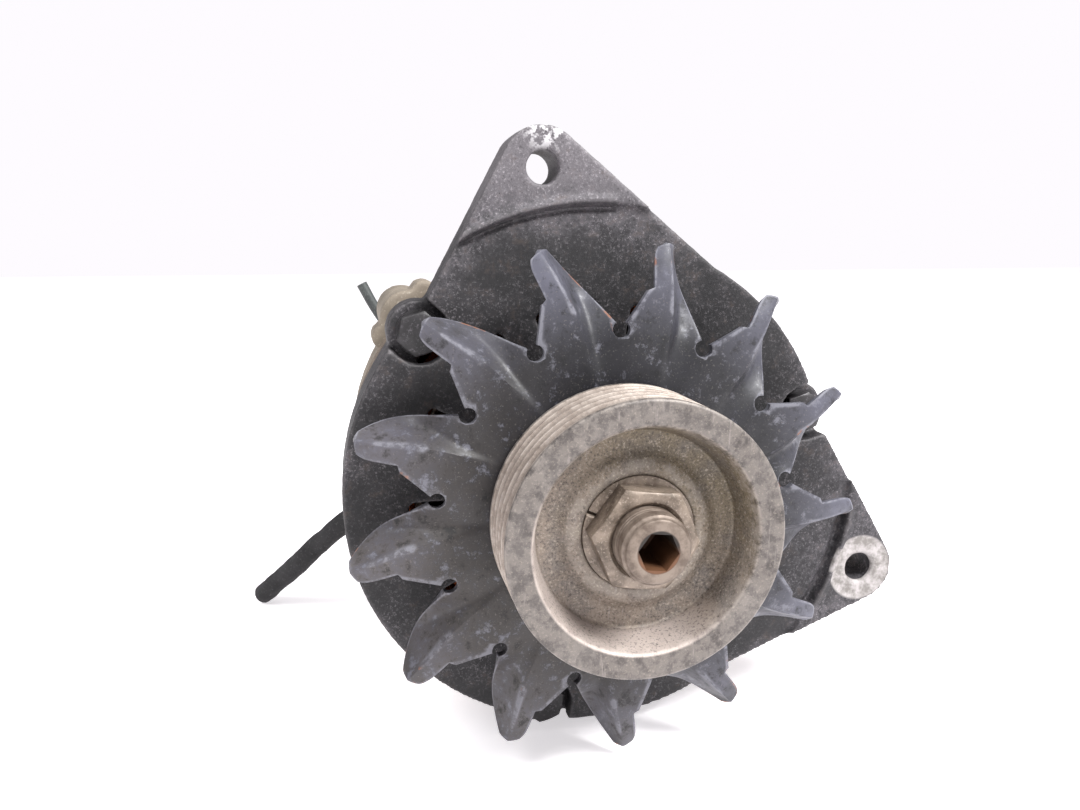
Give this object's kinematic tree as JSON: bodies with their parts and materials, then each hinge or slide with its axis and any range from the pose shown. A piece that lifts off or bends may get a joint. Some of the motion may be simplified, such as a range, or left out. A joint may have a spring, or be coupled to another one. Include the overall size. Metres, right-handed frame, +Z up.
{
  "type": "car alternator",
  "caption": "Belt-driven car alternator with ribbed pulley, external pressed fan, two-lug front bracket and cut-off rear leads.",
  "frame": {"origin": "on the shaft axis, in the middle of the belt's width on the pulley", "axes": "+Y runs along the shaft from the pulley to the rear, +Z is up as it stands, +X is to the right seen from the pulley"},
  "size_m": [0.1877, 0.1591, 0.16],
  "materials": {
    "pulley_steel": "dull turned steel with dust",
    "fan_paint": "satin paint, worn edges",
    "fastener_steel": "dull plated steel",
    "shaft_steel": "ground steel",
    "pole_iron": "forged iron",
    "bearing_steel": "polished bearing steel",
    "cage_steel": "pressed steel",
    "front_casting": "oxidised die casting",
    "rear_casting": "dusty die casting",
    "lamination_steel": "stacked sheet steel, stained",
    "copper": "enamelled copper",
    "bare_copper": "bare copper",
    "moulding": "moulded plastic",
    "bush_plastic": "brown moulded plastic",
    "carbon": "carbon brush",
    "spring_steel": "drawn wire",
    "sink_aluminium": "sheet aluminium",
    "diode_can": "plated can",
    "lead_sleeve": "black sleeve",
    "tinned_copper": "tinned copper",
    "capacitor_can": "drawn aluminium can"
  },
  "bodies": {
    "housing": {"front_brush_spring": "spring_steel", "rear_brush_spring": "spring_steel", "front_bearing_outer_race": "bearing_steel", "front_bearing_shields": "cage_steel", "rear_bearing_outer_race": "bearing_steel", "drive_end_bracket": "front_casting", "bearing_retainer_plate": "cage_steel", "retainer_screws": "fastener_steel", "stator_core": "lamination_steel", "stator_windings": "copper", "slip_ring_end_bracket": "rear_casting", "through_bolts": "fastener_steel", "through_bolt_washers": "fastener_steel", "voltage_regulator": "moulding", "regulator_screws": "fastener_steel", "positive_heat_sink": "sink_aluminium", "negative_heat_sink": "sink_aluminium", "positive_diodes": "diode_can", "negative_diodes": "diode_can", "heat_sink_spacers": "bush_plastic", "heat_sink_screws": "fastener_steel", "charge_terminal_bush": "bush_plastic", "charge_terminal_stud": "fastener_steel", "charge_terminal_nut": "fastener_steel", "lamp_terminal_bush": "bush_plastic", "lamp_terminal_stud": "fastener_steel", "lamp_terminal_nut": "fastener_steel", "charge_lead_terminal": "tinned_copper", "lamp_lead_terminal": "tinned_copper", "charge_lead": "lead_sleeve", "lamp_lead": "lead_sleeve", "suppression_capacitor": "capacitor_can", "capacitor_clamp": "cage_steel", "capacitor_screw": "fastener_steel"},
    "rotor": {"pulley": "pulley_steel", "pulley_nut": "fastener_steel", "spring_washer": "fastener_steel", "shaft_key": "shaft_steel", "cooling_fan": "fan_paint", "fan_spacer": "shaft_steel", "rotor_shaft": "shaft_steel", "front_claw_pole": "pole_iron", "rear_claw_pole": "pole_iron", "coil_bobbin": "moulding", "field_coil": "copper", "slip_ring_moulding": "moulding", "slip_rings": "bare_copper", "front_bearing_inner_race": "bearing_steel", "rear_bearing_inner_race": "bearing_steel"},
    "front_ball_set": {"front_bearing_balls": "bearing_steel", "front_bearing_cage": "cage_steel"},
    "rear_ball_set": {"rear_bearing_balls": "bearing_steel", "rear_bearing_cage": "cage_steel"},
    "front_brush_body": {"front_brush": "carbon"},
    "rear_brush_body": {"rear_brush": "carbon"}
  },
  "joints": [
    {"name": "rotor_spin", "type": "hinge", "parent": "housing", "child": "rotor", "pos_m": [0, 0, 0], "axis": [0, 1, 0], "continuous": true},
    {"name": "front_balls_roll", "type": "hinge", "parent": "housing", "child": "front_ball_set", "pos_m": [0, 0.037, 0], "axis": [0, 1, 0], "continuous": true},
    {"name": "rear_balls_roll", "type": "hinge", "parent": "housing", "child": "rear_ball_set", "pos_m": [0, 0.1045, 0], "axis": [0, 1, 0], "continuous": true},
    {"name": "front_brush_slide", "type": "slide", "parent": "housing", "child": "front_brush_body", "axis": [0, 0, 1], "range_m": [0, 0.005], "stiffness_N_per_m": 180, "springref_m": -0.008, "deforming": ["front_brush_spring"]},
    {"name": "rear_brush_slide", "type": "slide", "parent": "housing", "child": "rear_brush_body", "axis": [0, 0, 1], "range_m": [0, 0.005], "stiffness_N_per_m": 180, "springref_m": -0.008, "deforming": ["rear_brush_spring"]}
  ],
  "couplings": [
    {"joint": "front_balls_roll", "follows": "rotor_spin", "ratio": 0.3638},
    {"joint": "rear_balls_roll", "follows": "rotor_spin", "ratio": 0.3812}
  ]
}
